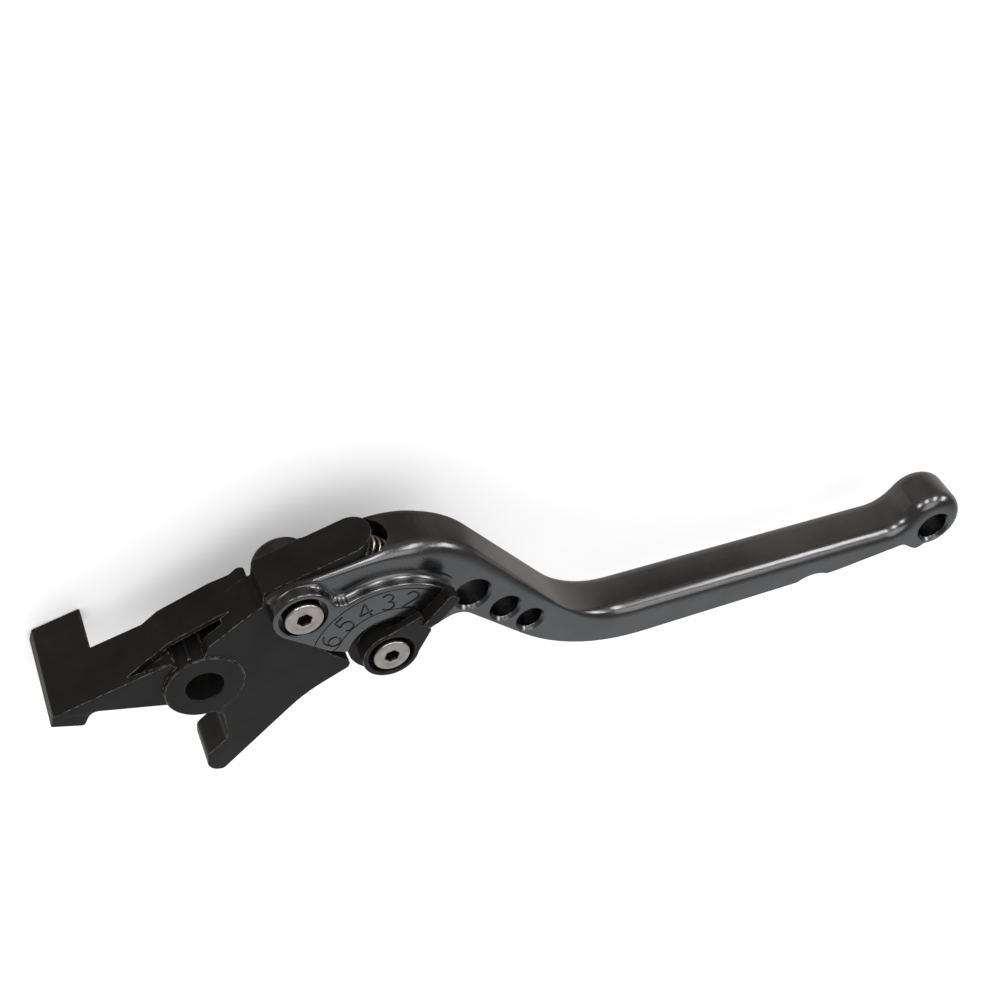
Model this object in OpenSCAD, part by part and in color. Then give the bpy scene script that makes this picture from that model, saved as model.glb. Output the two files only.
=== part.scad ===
// Adjustable hand lever for a brake: a long CNC lever body hinged on a pivot
// bracket, with a numbered cam that sets the reach.
// Origin: centre of the pivot bore, at mid-height of the lever body.
// +Z is the pivot axis, +X runs along the blade, +Y is the finger side.

/* [Lever body] */
// Half of the blade's height
blade_half = 6.2; // [5.8:0.1:6.4]
// Half of the head's height at the recessed floor
floor_half = 6.6; // [6.5:0.1:7]
// Half of the head's height at the numbered plateau
ear_half = 9.2; // [8.8:0.1:9.6]
// Half of the slot that takes the bracket
slot_half = 4.9; // [4.88:0.01:5]
// Radius of the ears round the link screw
ear_r = 6.3; // [6:0.1:6.6]
// Radius of the plateau's arc round the adjuster
plateau_r = 18.3; // [17.5:0.1:19]
// Radius of the opening that the adjuster drops into
cutout_r = 8.9; // [8.6:0.1:9.3]
// Radius of the rounded tip
tip_r = 7.8; // [7:0.1:8]
// Radius of the hole in the tip
tip_hole_r = 4; // [3:0.1:4.2]
// Radii of the three lightening holes
hole_r = [4.1, 3.4, 3.05]; // [2.6:0.05:4.2]

/* [Bracket] */
// Half of the bracket's height between the ears
plate_half = 4.85; // [4.8:0.01:4.86]
// Radius of the pivot boss
boss_r = 8.4; // [8:0.1:9]
// Top of the pivot boss
boss_top = 5.3; // [5:0.1:5.6]
// Underside of the boss, the arm and the outer wall
arm_bottom = -9; // [-9.5:0.1:-8.5]
// Top of the arm
arm_top = 4.3; // [4:0.1:4.8]
// Underside of the tall end pad
pad_bottom = -20.5; // [-22:0.1:-18]
// Radius of the pivot bore
pivot_r = 4; // [3:0.05:4.1]

/* [Adjuster] */
// Turn from position 1 to position 6, in degrees
adjuster_turn = 101.5; // [80:0.5:101.5]
// Swing of the lever body over the whole adjuster turn, in degrees
reach_turn = 6.9; // [5:0.1:7]
// Direction of the pointer at position 1
pointer_dir = 47.5; // [45:0.5:50]
// Radius of the upper drum of the cam
drum_r = 8.1; // [7.8:0.1:8.3]
// Top of the drum
drum_top = 7; // [6.8:0.1:7.5]
// Radius of the hub that carries the pointer
hub_r = 6.2; // [6:0.1:6.5]
// Top of the hub and its pointer arm
hub_top = 11.2; // [11:0.1:11.5]
// Top of the raised finger at the end of the pointer
fin_top = 12.6; // [12:0.1:13]

/* [Screws] */
// Radius of the link screw's head
link_head_r = 4.04; // [3.9:0.01:4.2]
// Radius of the adjuster screw's head
adjuster_head_r = 3.95; // [3.8:0.01:4.1]
// Width across the flats of both hex sockets
socket_af = 3; // [2.5:0.1:4]
// Radius of the screws' shanks
shank_r = 2.5; // [2.4:0.05:2.7]

/* [Spring] */
// Mean radius of the return spring
spring_r = 2.5; // [2.2:0.1:2.7]
// Radius of its wire
wire_r = 0.42; // [0.35:0.01:0.5]
// Number of turns
spring_turns = 5.5; // [4.5:0.5:6.5]

/* [Hidden] */
$fn = 96;

// Centres in plan: link screw, adjuster screw, tip, tip hole, lightening holes, bracket nose
link = [20.9, 16.9];
cam = [38.05, 0.8];
tip = [174.5, -13.8];
tip_hole = [174.6, -14.7];
holes = [[57.8, 6.6], [65.35, -0.65], [71.2, -6.45]];
nose = [29.2, -5.7];
nose_r = 1.5;
// Gap between the nose and the cam, radial clearance of the running fits and of the fixed ones
contact_gap = 0.08;
fit = 0.04;
slip = 0.02;
// Bushes, screw heads and the counterbores round them
bush_r = 4;
shoulder_r = 3;
cam_bush_r = 3.5;
counterbore_r = 5.05;
head_h = 2.9;
link_head_top = 9.9;
adjuster_head_top = 11.5;
screw_end = 0.2 - ear_half;
// Underside of the pointer, just clear of the plateau
pointer_bottom = ear_half + 0.15;
// Return spring: direction and foot of its axis in plan, and its length
spring_dir = -40;
spring_seat = [34.1, 24.9];
spring_len = 9;
spring_hole_r = spring_r + wire_r + 0.25;
// Detent: where the ball sits round the adjuster, its radius, and how far it stands up
detent_spot = cam + 6 * [cos(75), -sin(75)];
detent_r = norm(detent_spot - cam);
ball_r = 1.2;
ball_rise = 0.5;
ball_z = ball_rise - slot_half - ball_r;
detent_floor = -8.3;

function dir(a) = [cos(a), sin(a)];
function turn(p, a) = [p.x * cos(a) - p.y * sin(a), p.x * sin(a) + p.y * cos(a)];
function angle_of(p) = (atan2(p.y, p.x) + 360) % 360;

// Corner c of a path, rounded to radius r between neighbours a and b
function corner(a, c, b, r) =
    let (u = (a - c) / norm(a - c),
         v = (b - c) / norm(b - c),
         half = acos(max(-1, min(1, u * v))) / 2,
         reach = r / tan(half),
         mid = (u + v) / norm(u + v),
         centre = c + mid * r / sin(half),
         from = c + u * reach - centre,
         side = u.x * v.y - u.y * v.x > 0 ? -1 : 1,
         sweep = 180 - 2 * half,
         steps = max(2, ceil(sweep / 5)))
    [for (i = [0 : steps]) centre + turn(from, side * sweep * i / steps)];

// Closed outline through [x, y, corner radius] points
function outline(p) =
    let (n = len(p))
    [for (i = [0 : n - 1])
        let (c = [p[i].x, p[i].y],
             a = [p[(i + n - 1) % n].x, p[(i + n - 1) % n].y],
             b = [p[(i + 1) % n].x, p[(i + 1) % n].y])
        each (p[i][2] > 0 ? corner(a, c, b, p[i][2]) : [c])];

// Centre of the circle of radius r that touches two circles from outside
function fillet_centre(a, ra, b, rb, r) =
    let (d = norm(b - a),
         pa = ra + r,
         pb = rb + r,
         x = (d * d + pa * pa - pb * pb) / (2 * d),
         y = sqrt(pa * pa - x * x))
    a + turn([x, y], angle_of(b - a));

module at(p, z = 0) {
    translate([p.x, p.y, z]) children();
}

// Extrusion from height z0 up to z1
module slab(z0, z1) {
    translate([0, 0, z0]) linear_extrude(z1 - z0) children();
}

// Round hole with a 45 degree chamfer at both ends
module chamfered_hole(r, half, chamfer) {
    cylinder(r = r, h = 2 * half + 2, center = true);
    for (m = [0, 1]) mirror([0, 0, m])
        translate([0, 0, half - chamfer]) cylinder(r1 = r, r2 = r + 1.5 * chamfer, h = 1.5 * chamfer);
}

// Low-head screw with a hex socket; its shank is wide down to shoulder_end
module screw(head_r, top, wide_r, shoulder_end) {
    edge = 0.3;
    socket_depth = 1.7;
    difference() {
        union() {
            translate([0, 0, top - head_h]) cylinder(r = head_r, h = head_h - edge);
            translate([0, 0, top - edge]) cylinder(r1 = head_r, r2 = head_r - edge, h = edge);
            translate([0, 0, shoulder_end]) cylinder(r = wide_r, h = top - head_h - shoulder_end);
            translate([0, 0, screw_end]) cylinder(r = shank_r, h = shoulder_end - screw_end);
        }
        translate([0, 0, top - socket_depth]) cylinder(r = socket_af / sqrt(3), h = 3, $fn = 6);
    }
}

// ---- lever body ----

blade_path = [
    [19.6, 23.15, 0], [51.4, 27, 24], [84.3, -12.2, 22], [165.3, -12.6, 8], [169.2, -8.1, 0],
    [174.5, -13.8, 0], [169.8, -20.1, 0], [167, -17.9, 2], [149, -20.3, 20], [138, -20.6, 0],
    [98.6, -21.6, 0], [81.3, -21.6, 42], [55.2, 2.8, 4.5], [47.2, -0.7, 1], [38.05, 0.8, 0],
    [29.2, 3, 0], [25.5, 4.8, 2], [16.5, 12.4, 0]
];

// Rear edge of the head, then round the adjuster and back along the link
plateau_path = [
    [16.5, 12.4, 0], [25.5, 4.8, 2], [29.2, 3, 0], [38.05, 0.8, 0], [54.23, 12.56, 0],
    [54, 36, 0], [36, 36, 0], [20.9, 16.9, 0]
];

module ear_outline() {
    at(link) circle(ear_r);
    polygon(outline(blade_path));
}

// Numbered plateau: an arc round the adjuster, blended into the upper ear
module plateau_outline() {
    blend_r = 3;
    blend = fillet_centre(cam, plateau_r, link, ear_r, blend_r);
    difference() {
        union() {
            at(link) circle(ear_r);
            intersection() {
                at(cam) circle(plateau_r);
                polygon(outline(plateau_path));
            }
            polygon([link, cam + plateau_r * dir(115), blend]);
        }
        at(blend) circle(blend_r);
    }
}

// Lower ear: a disc under the adjuster, joined to the one round the link screw
module lower_ear_outline() {
    disc_r = 7.4;
    at(link) circle(ear_r);
    at(cam) circle(disc_r);
    polygon([[22, 8.5], cam + disc_r * dir(222), cam + disc_r * dir(-20), cam + 16 * dir(30), link]);
}

// Slot for the bracket and the cam, open at the rear and on the finger side
module slot_outline() {
    polygon([[8, 32], [8, -14], [44, -14], [44, 2], [40.6, 13], [39, 20], [39, 32]]);
    at(cam) circle(9.9);
    at(cam) intersection() {
        circle(12.6);
        polygon([[0, 0], 30 * dir(75), 30 * dir(140), 30 * dir(215)]);
    }
}

// Rounded window on the finger side, where the slot breaks through
module window() {
    translate([36.6, 36, 0]) rotate([90, 0, 0]) cylinder(r = slot_half, h = 20);
}

module spring_frame() {
    at(spring_seat) rotate([0, 90, spring_dir]) children();
}

// Tip: a disc with a wide round-over at both faces
module tip_disc() {
    over = 3.2;
    rotate_extrude() polygon(outline([[0, -blade_half, 0], [tip_r, -blade_half, over],
                                      [tip_r, blade_half, over], [0, blade_half, 0]]));
}

module lever_body() {
    head_end = 47.5;
    hole_edge = 0.35;
    notch_r = 7.4;
    color("#7c8087") difference() {
        union() {
            slab(-blade_half, blade_half) ear_outline();
            at(tip) tip_disc();
            slab(-floor_half, floor_half) intersection() {
                ear_outline();
                translate([10, -10]) square([head_end - 10, 45]);
            }
            slab(0, ear_half) plateau_outline();
            slab(-ear_half, -slot_half) lower_ear_outline();
        }
        slab(-slot_half, slot_half) slot_outline();
        window();
        at(cam, slot_half - 1) cylinder(r = cutout_r, h = 20);
        at(link, -slot_half - 0.15) cylinder(r = shoulder_r + fit, h = 40);
        at(link, link_head_top - head_h) cylinder(r = counterbore_r, h = 10);
        for (p = [link, cam]) at(p, -ear_half - 1) cylinder(r = shank_r + slip, h = 10);
        at(detent_spot, detent_floor) cylinder(r = ball_r + fit, h = 5);
        for (i = [0 : 2]) at(holes[i]) chamfered_hole(hole_r[i], blade_half, hole_edge);
        at(tip_hole) chamfered_hole(tip_hole_r, blade_half, hole_edge);
        // shallow notch in the rear edge of the blade
        at([142.9, -26.5]) cylinder(r = notch_r, h = 40, center = true);
        spring_frame() translate([0, 0, 1]) cylinder(r = spring_hole_r, h = spring_len - 0.9);
    }
}

// ---- bracket ----

plate_path = [
    [29.8, -7.07, 0], [30.25, -4.66, 0], [25.2, 0.5, 5], [25.3, 8.5, 8], [28.4, 15, 5], [27.6, 19.6, 2],
    [31.8, 21.3, 1], [38.9, 28.5, 0.3], [14.3, 21.9, 0.8], [13.8, 18.2, 0.3], [12.3, 17.9, 1],
    [2, 11, 1], [0, 6, 0], [0, -8.3, 0], [3, -10.2, 2], [3, -18.4, 2.5], [-1.9, -22.4, 2.2],
    [-2.4, -28, 3], [1.2, -28.2, 1], [20.5, -11.2, 30]
];

arm_path = [
    [-30.2, 2.5, 0.3], [-31.2, -0.3, 0.3], [-24.7, -2.6, 0.8], [-22.9, 0.9, 2], [-6, -4, 0], [0, 0, 0],
    [-6, 8.5, 0]
];

wall_path = [
    [-9.4, 7.4, 0], [-5.3, 10.5, 3], [5.6, 14.5, 6], [10.2, 15.5, 2], [12, 17, 1.2], [13.6, 16.4, 0.8],
    [12.2, 10.5, 0], [6, 0, 0], [-6, 0, 0]
];

// Hollow behind the outer wall; the plate, the arm and the boss bound it on the other sides
pocket_path = [
    [-14.3, 6.2, 0], [-8.9, 6.9, 0], [-5, 9.6, 3], [5.7, 13.5, 6], [9.8, 14.4, 2], [12, 16.4, 0],
    [10, 8, 0], [0, 3, 0], [-6, 3, 0]
];

module bracket_solid() {
    wall_top = 0.5;
    pocket_floor = -5;
    slab(-plate_half, plate_half) {
        polygon(outline(plate_path));
        at(nose) circle(nose_r);
    }
    slab(arm_bottom, boss_top) circle(boss_r);
    slab(arm_bottom, arm_top) polygon(outline(arm_path));
    slab(pad_bottom, arm_top) intersection() {
        polygon(outline(arm_path));
        translate([-35, -5]) square([15.2, 15]);
    }
    difference() {
        slab(arm_bottom, wall_top) polygon(outline(wall_path));
        slab(pocket_floor, wall_top + 1) polygon(outline(pocket_path));
    }
}

module bracket() {
    bore_edge = 0.3;
    tongue_end = 33.3;
    color("#2b2b2d") difference() {
        bracket_solid();
        cylinder(r = pivot_r, h = 60, center = true);
        translate([0, 0, boss_top - bore_edge]) cylinder(r1 = pivot_r, r2 = pivot_r + 0.5, h = 0.5);
        at(link) cylinder(r = bush_r + slip, h = 40, center = true);
        // rounded end of the tongue, seen from the finger side
        translate([0, 40, 0]) rotate([90, 0, 0]) linear_extrude(26) difference() {
            translate([tongue_end, -6]) square([8, 12]);
            translate([tongue_end, 0]) circle(plate_half);
        }
        // seat for the return spring
        spring_frame() cylinder(r = spring_hole_r, h = 12);
    }
}

module link_bush() {
    color("#9c7a3c") at(link) difference() {
        cylinder(r = bush_r, h = 2 * plate_half - 0.1, center = true);
        cylinder(r = shoulder_r + fit, h = 20, center = true);
    }
}

module link_screw() {
    color("#c9c4bb") at(link) screw(link_head_r, link_head_top, shoulder_r, -slot_half - 0.1);
}

// ---- adjuster ----

// Cam axis after the adjuster has turned by a, with the lever body swinging in step
function swing(a) = reach_turn * a / adjuster_turn;
function cam_at(a) = link + turn(cam - link, swing(a));
function contact_angle(a) = angle_of(nose - cam_at(a)) - a - swing(a);
function contact_radius(a) = norm(nose - cam_at(a)) - nose_r - contact_gap;

// Cam outline: the working face holds the nose through the whole turn, then falls back to a plain round
cam_start = contact_angle(0);
cam_end = contact_angle(adjuster_turn);
high_r = contact_radius(adjuster_turn);
low_r = contact_radius(0);
base_r = drum_r + 0.3;
dwell = 6;
fall = 28;
function ease(r1, r2, t) = r1 + (r2 - r1) * (1 - cos(180 * t)) / 2;

cam_profile = concat(
    [for (i = [0 : 28]) let (a = adjuster_turn * i / 28) contact_radius(a) * dir(contact_angle(a))],
    [for (i = [1 : 4]) high_r * dir(cam_end - dwell * i / 4)],
    [for (i = [1 : 10]) ease(high_r, base_r, i / 10) * dir(cam_end - dwell - fall * i / 10)],
    [for (i = [1 : 24]) base_r * dir(cam_end - dwell - fall
                                     - (360 - dwell - 2 * fall - (cam_start - cam_end)) * i / 24)],
    [for (i = [1 : 9]) ease(base_r, low_r, i / 10) * dir(cam_start + fall * (1 - i / 10))]
);

// Teardrop arm that carries the pointer, and the raised finger at its end
module pointer_arm() {
    root_r = hub_r - 0.3;
    polygon([[0, 0], root_r * dir(pointer_dir + 70), 11.5 * dir(pointer_dir + 6),
             9.8 * dir(pointer_dir - 22), root_r * dir(pointer_dir - 82)]);
}

module pointer_finger() {
    rotate(pointer_dir) polygon(outline([[10.2, 0.4, 0], [19.6, 0.4, 1.1], [19.6, -2.4, 1.1], [12.2, -2.4, 1.5],
                                         [10.2, -1.2, 0]]));
}

module adjuster_cam() {
    step_z = -0.6;
    color("#262628") at(cam) difference() {
        union() {
            slab(-plate_half, step_z) polygon(cam_profile);
            slab(step_z - 0.1, drum_top) circle(drum_r);
            slab(drum_top - 0.1, hub_top) circle(hub_r);
            slab(pointer_bottom, hub_top) pointer_arm();
            slab(pointer_bottom, fin_top) pointer_finger();
        }
        cylinder(r = cam_bush_r + fit, h = 60, center = true);
        translate([0, 0, adjuster_head_top - head_h - 0.1]) cylinder(r = counterbore_r, h = 10);
        // groove for the detent ball
        translate([0, 0, ball_z]) rotate_extrude() translate([detent_r, 0]) circle(r = ball_r + fit);
    }
}

module cam_bush() {
    color("#a7a9ac") at(cam, -slot_half) difference() {
        cylinder(r = cam_bush_r, h = adjuster_head_top - head_h + slot_half);
        translate([0, 0, -1]) cylinder(r = shank_r + fit, h = 30);
    }
}

module adjuster_screw() {
    color("#c9c4bb") at(cam) screw(adjuster_head_r, adjuster_head_top, shank_r, 0);
}

module detent_ball() {
    color("#b9bbbe") at(detent_spot, ball_z) sphere(r = ball_r);
}

// Round wire coiled upwards from z = 0
module coil(mean_r, wire, turns, height) {
    around = 14;
    sides = 7;
    steps = round(turns * around);
    points = [for (i = [0 : steps], j = [0 : sides - 1])
        let (a = 360 * i / around, b = 360 * j / sides)
        [(mean_r + wire * cos(b)) * cos(a), (mean_r + wire * cos(b)) * sin(a),
         wire + (height - 2 * wire) * i / steps + wire * sin(b)]];
    faces = [for (i = [0 : steps - 1], j = [0 : sides - 1])
        let (near = i * sides, far = near + sides, k = (j + 1) % sides)
        each [[near + j, far + k, near + k], [near + j, far + j, far + k]]];
    ends = [[for (j = [0 : sides - 1]) j], [for (j = [sides - 1 : -1 : 0]) steps * sides + j]];
    polyhedron(points, concat(faces, ends));
}

module return_spring() {
    color("#c8b58a") spring_frame() translate([0, 0, fit]) coil(spring_r, wire_r, spring_turns, spring_len - 2 * fit);
}

module detent_spring() {
    color("#b9bbbe") at(detent_spot, detent_floor) coil(0.85, 0.16, 2.5, ball_z - ball_r - detent_floor - slip);
}

lever_body();
bracket();
link_bush();
link_screw();
adjuster_cam();
cam_bush();
adjuster_screw();
return_spring();
detent_ball();
detent_spring();
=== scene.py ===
"""Adjustable brake lever: the visual model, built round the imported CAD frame.

Lengths are in mm until a mesh is made. Outlines are lists of (x, y, corner radius).
"""
import math

import bmesh
import bpy
from mathutils import Matrix, Vector


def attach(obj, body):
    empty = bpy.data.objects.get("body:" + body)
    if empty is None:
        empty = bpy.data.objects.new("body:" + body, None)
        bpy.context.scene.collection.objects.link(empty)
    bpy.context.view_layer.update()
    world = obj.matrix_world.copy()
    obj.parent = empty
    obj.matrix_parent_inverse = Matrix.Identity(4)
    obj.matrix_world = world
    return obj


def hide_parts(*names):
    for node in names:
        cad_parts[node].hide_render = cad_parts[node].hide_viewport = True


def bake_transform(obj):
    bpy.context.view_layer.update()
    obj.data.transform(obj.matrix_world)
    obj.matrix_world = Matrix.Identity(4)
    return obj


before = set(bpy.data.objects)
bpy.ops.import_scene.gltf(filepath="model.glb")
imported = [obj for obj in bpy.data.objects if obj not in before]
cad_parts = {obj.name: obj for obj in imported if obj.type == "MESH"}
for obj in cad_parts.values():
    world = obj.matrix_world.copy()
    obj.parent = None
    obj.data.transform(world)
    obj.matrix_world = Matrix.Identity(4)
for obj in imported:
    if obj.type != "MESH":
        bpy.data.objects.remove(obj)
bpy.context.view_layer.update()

MM = 0.001

# ---- driving dimensions, as in the CAD frame ----

LINK = Vector((20.9, 16.9))
CAM = Vector((38.05, 0.8))
TIP = Vector((174.5, -13.8))
TIP_HOLE = Vector((174.6, -14.7))
HOLES = [(Vector((57.8, 6.6)), 4.1), (Vector((65.35, -0.65)), 3.4), (Vector((71.2, -6.45)), 3.05)]
NOSE = Vector((29.2, -5.7))
NOSE_R = 1.5

BLADE_HALF = 6.2
FLOOR_HALF = 6.6
EAR_HALF = 9.2
SLOT_HALF = 4.9
EAR_R = 6.3
PLATEAU_R = 18.3
CUTOUT_R = 8.9
TIP_R = 7.8
TIP_HOLE_R = 4.0

PLATE_HALF = 4.85
BOSS_R = 8.4
BOSS_TOP = 5.3
ARM_TOP = 4.3
ARM_BOTTOM = -9.0
PAD_BOTTOM = -20.5
PIVOT_R = 4.0

ADJUSTER_TURN = 101.5
REACH_TURN = 6.9
POINTER_DIR = 47.5
DRUM_R = 8.1
DRUM_TOP = 7.0
STEP_Z = -0.6
HUB_R = 6.2
HUB_TOP = 11.2
FINGER_TOP = 12.6
POINTER_BOTTOM = EAR_HALF + 0.15
BALL_Z = -5.6
BALL_R = 1.2
DETENT_R = 6.0

COUNTERBORE_R = 5.05
HEAD_H = 2.9
LINK_HEAD_R = 4.04
LINK_HEAD_TOP = 9.9
ADJUSTER_HEAD_R = 3.95
ADJUSTER_HEAD_TOP = 11.5
SHOULDER_R = 3.0
SHANK_R = 2.5
BUSH_R = 4.0
CAM_BUSH_R = 3.5
FIT = 0.04
SOCKET_AF = 3.0
SHARP_ANGLE = 32

SPRING_DIR = -40.0
SPRING_SEAT = Vector((34.1, 24.9))
SPRING_LEN = 9.0
SPRING_R = 2.5
WIRE_R = 0.42
SPRING_HOLE_R = SPRING_R + WIRE_R + 0.25


# ---- plane geometry ----

ORIGIN = Vector((0, 0))


def heading(angle):
    a = math.radians(angle)
    return Vector((math.cos(a), math.sin(a)))


def turned(p, angle):
    a = math.radians(angle)
    return Vector((p.x * math.cos(a) - p.y * math.sin(a), p.x * math.sin(a) + p.y * math.cos(a)))


def angle_of(p):
    return math.degrees(math.atan2(p.y, p.x)) % 360


def arc(centre, r, start, end, step=4.0):
    """Points on an arc from angle start to angle end, both included."""
    n = max(2, math.ceil(abs(end - start) / step))
    return [centre + r * heading(start + (end - start) * i / n) for i in range(n + 1)]


def corner(a, c, b, r, step=4.0):
    """Corner c of a path, rounded to radius r between its neighbours a and b."""
    u = (a - c).normalized()
    v = (b - c).normalized()
    half = math.acos(max(-1.0, min(1.0, u.dot(v)))) / 2
    reach = r / math.tan(half)
    centre = c + (u + v).normalized() * (r / math.sin(half))
    start = c + u * reach - centre
    side = -1 if u.x * v.y - u.y * v.x > 0 else 1
    sweep = 180 - 2 * math.degrees(half)
    n = max(2, math.ceil(sweep / step))
    return [centre + turned(start, side * sweep * i / n) for i in range(n + 1)]


def outline(points):
    """Closed path through (x, y, corner radius) points."""
    path = []
    n = len(points)
    for i, (x, y, r) in enumerate(points):
        c = Vector((x, y))
        a = Vector(points[i - 1][:2])
        b = Vector(points[(i + 1) % n][:2])
        path += corner(a, c, b, r) if r > 0 else [c]
    return path


def shifted(path, centre):
    return [p + centre for p in path]


def tidy_path(path, longest=None):
    """Drops repeated points, turns the path counter-clockwise, and splits edges over the longest length."""
    clean = []
    for p in path:
        if not clean or (p - clean[-1]).length > 0.01:
            clean.append(p)
    if (clean[0] - clean[-1]).length <= 0.01:
        clean.pop()
    area = sum(p.x * q.y - q.x * p.y for p, q in zip(clean, clean[1:] + clean[:1]))
    if area < 0:
        clean.reverse()
    if longest is None:
        return clean
    split = []
    for p, q in zip(clean, clean[1:] + clean[:1]):
        n = max(1, math.ceil((q - p).length / longest))
        split += [p.lerp(q, i / n) for i in range(n)]
    return split


def inward(path):
    """The way in at each point of a counter-clockwise path.

    It is lengthened at corners, so that insets stay parallel.
    """
    ways = []
    for i, p in enumerate(path):
        before = (p - path[i - 1]).normalized()
        after = (path[(i + 1) % len(path)] - p).normalized()
        n1 = Vector((-before.y, before.x))
        n2 = Vector((-after.y, after.x))
        way = n1 + n2
        ways.append(way * (2 / max(way.length_squared, 0.8)))
    return ways


def table(pairs, x):
    """Piecewise-linear value at x from sorted (x, value) pairs."""
    if x <= pairs[0][0]:
        return pairs[0][1]
    for (x0, v0), (x1, v1) in zip(pairs, pairs[1:]):
        if x <= x1:
            return v0 + (v1 - v0) * (x - x0) / (x1 - x0)
    return pairs[-1][1]


def quarter(steps):
    """Angles from 0 to a right angle, in radians, for the rings of a round-over."""
    return [math.pi / 2 * k / steps for k in range(steps + 1)]


def smoothstep(x, a, b):
    t = max(0.0, min(1.0, (x - a) / (b - a)))
    return t * t * (3 - 2 * t)


# ---- solids ----

def make_object(name, vertices, faces):
    mesh = bpy.data.meshes.new(name)
    mesh.from_pydata([tuple(c * MM for c in v) for v in vertices], [], faces)
    bm = bmesh.new()
    bm.from_mesh(mesh)
    bmesh.ops.remove_doubles(bm, verts=bm.verts, dist=0.000001)
    bmesh.ops.recalc_face_normals(bm, faces=bm.faces)
    bm.to_mesh(mesh)
    bm.free()
    obj = bpy.data.objects.new(name, mesh)
    bpy.context.scene.collection.objects.link(obj)
    return obj


def stacked(name, rings):
    """Closed solid through rings with the same number of points, capped at both ends."""
    n = len(rings[0])
    vertices = [p for ring in rings for p in ring]
    faces = []
    for k in range(len(rings) - 1):
        low, high = k * n, (k + 1) * n
        faces += [(low + i, low + (i + 1) % n, high + (i + 1) % n, high + i) for i in range(n)]
    faces.append(tuple(range(n - 1, -1, -1)))
    faces.append(tuple(range((len(rings) - 1) * n, len(rings) * n)))
    return make_object(name, vertices, faces)


def slab(name, path, z0, z1, top=0.0, bottom=0.0, steps=4, longest=None):
    """Extruded path with rounded top and bottom edges.

    The radii, top and bottom, are numbers or functions of the point.
    """
    path = tidy_path(path, longest)
    ways = inward(path)

    def edge(radius, face, side):
        if not callable(radius) and radius == 0:
            return [[(*p, face) for p in path]]
        radii = [radius(p) if callable(radius) else radius for p in path]
        rings = []
        for a in quarter(steps):
            rings.append([(*(p + w * r * (1 - math.cos(a))), face - side * r * (1 - math.sin(a)))
                          for p, w, r in zip(path, ways, radii)])
        return rings

    rings = edge(bottom, z0, -1)[::-1] + edge(top, z1, 1)
    return stacked(name, rings)


def turned_ring(centre, r, z, steps):
    turns = [2 * math.pi * i / steps for i in range(steps)]
    return [(centre.x + r * math.cos(a), centre.y + r * math.sin(a), z) for a in turns]


def turned_solid(name, profile, centre=ORIGIN, steps=96):
    """Solid of revolution about +Z; the profile is (radius, z) from one flat cap to the other."""
    return stacked(name, [turned_ring(centre, r, z, steps) for r, z in profile])


def coil(name, mean_r, wire, turns, height):
    """Round wire coiled up from z = 0, with its end turns closed up."""
    around, sides, closed = 40, 14, 0.75
    steps = round(turns * around)
    pitch = (height - 2 * wire - 2 * closed * 2 * wire) / (turns - 2 * closed)
    rings = []
    for i in range(steps + 1):
        t = turns * i / steps
        low = min(t, closed) * 2 * wire
        mid = max(0.0, min(t, turns - closed) - closed) * pitch
        high = max(0.0, t - (turns - closed)) * 2 * wire
        z = wire + low + mid + high
        a = 2 * math.pi * t
        ring = []
        for j in range(sides):
            b = 2 * math.pi * j / sides
            r = mean_r + wire * math.cos(b)
            ring.append((r * math.cos(a), r * math.sin(a), z + wire * math.sin(b)))
        rings.append(ring)
    return stacked(name, rings)


def replace_mesh(obj, mesh):
    old = obj.data
    obj.data = mesh
    bpy.data.meshes.remove(old)


def boolean(obj, tool, operation):
    mod = obj.modifiers.new(operation, "BOOLEAN")
    mod.operation = operation
    mod.solver = "MANIFOLD"
    mod.object = tool
    bpy.context.view_layer.update()
    shaped = obj.evaluated_get(bpy.context.evaluated_depsgraph_get())
    mesh = bpy.data.meshes.new_from_object(shaped)
    obj.modifiers.clear()
    if len(mesh.polygons) == 0:
        raise RuntimeError(f"{operation} of {tool.name} left nothing of {obj.name}")
    replace_mesh(obj, mesh)
    bpy.data.objects.remove(tool)


def join(obj, *tools):
    for tool in tools:
        boolean(obj, tool, "UNION")


def cut(obj, *tools):
    for tool in tools:
        boolean(obj, tool, "DIFFERENCE")


def moved(obj, matrix):
    obj.data.transform(matrix)
    return obj


def rod(name, r, z0, z1, centre=ORIGIN, edge=0.0):
    """Round bar, with both ends chamfered where edge is given."""
    profile = [(r, z0), (r, z1)]
    if edge:
        profile = [(r - edge, z0), (r, z0 + edge), (r, z1 - edge), (r - edge, z1)]
    return turned_solid(name, profile, centre)


def rimmed_hole(r, half, chamfer, centre):
    """Cutter for a through hole with chamfered rims at z = half and z = -half.

    The radius r is measured half-way up the chamfer.
    """
    inner, outer = r - chamfer / 2, r + chamfer / 2
    upper = [(inner, half - chamfer - 0.1), (inner + 0.06, half - chamfer), (outer, half), (outer, half + 2)]
    return turned_solid("hole", [(rr, -z) for rr, z in reversed(upper)] + upper, centre)


def socket(centre, top):
    """Cutters for a hex socket and its conical lead-in."""
    depth, turn = 1.9, 12
    corner_r = SOCKET_AF / math.sqrt(3)
    corners = [corner_r * heading(60 * i + turn) for i in range(6)]
    tool = slab("hex", shifted(corners, centre), top - depth, top + 1)
    return tool, turned_solid("lead", [(0.7, top - 0.75), (1.95, top + 0.5)], centre, 48)


def ribbon(name, line, width, z0, z1):
    """Cutter for an engraved stroke along an open line."""
    left, right = [], []
    for i, p in enumerate(line):
        a = line[max(i - 1, 0)]
        b = line[min(i + 1, len(line) - 1)]
        d = (b - a).normalized()
        n = Vector((-d.y, d.x))
        left.append(p + n * width / 2)
        right.append(p - n * width / 2)
    return slab(name, left + right[::-1], z0, z1)


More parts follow.
